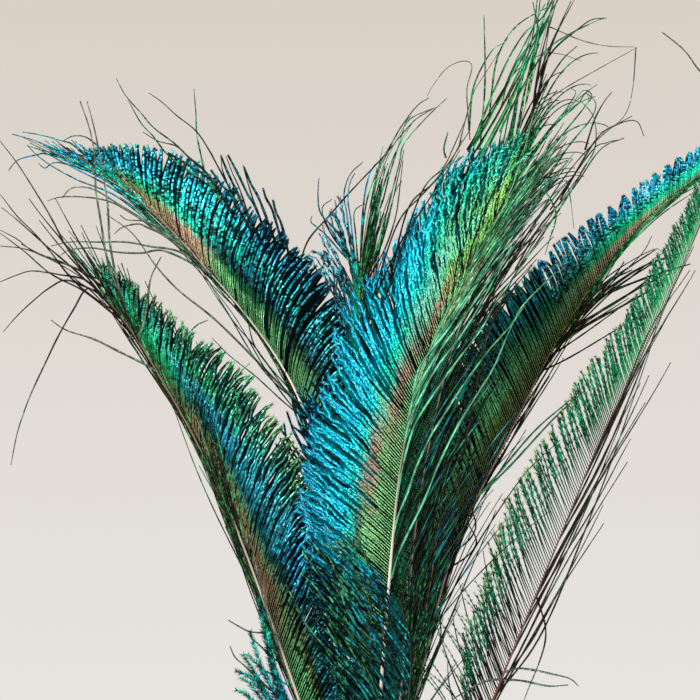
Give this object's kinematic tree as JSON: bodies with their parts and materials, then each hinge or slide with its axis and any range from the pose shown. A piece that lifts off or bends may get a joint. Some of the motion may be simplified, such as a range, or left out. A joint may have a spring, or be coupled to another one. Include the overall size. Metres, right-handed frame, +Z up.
{
  "type": "peacock feathers in a vase",
  "caption": "Spray of one-sided peacock sword feathers with split vanes and loose barbs, standing in a plain round vase.",
  "frame": {"origin": "centre of the vase's foot, on the surface that it stands on", "axes": "+Z up, -Y towards the side that the vanes face, +X to the viewer's right"},
  "size_m": [0.2293, 0.0878, 0.366],
  "materials": {
    "vase": "satin",
    "blue_plume": "satin",
    "dark_plume": "satin",
    "green_plume": "satin"
  },
  "bodies": {
    "root": {"vase": "vase", "feather_centre": "blue_plume", "feather_lower_left": "blue_plume", "feather_upper_left": "blue_plume", "feather_right": "blue_plume", "feather_back_left": "blue_plume", "feather_front_low": "dark_plume", "feather_middle": "dark_plume", "feather_far_right": "green_plume"}
  },
  "joints": []
}
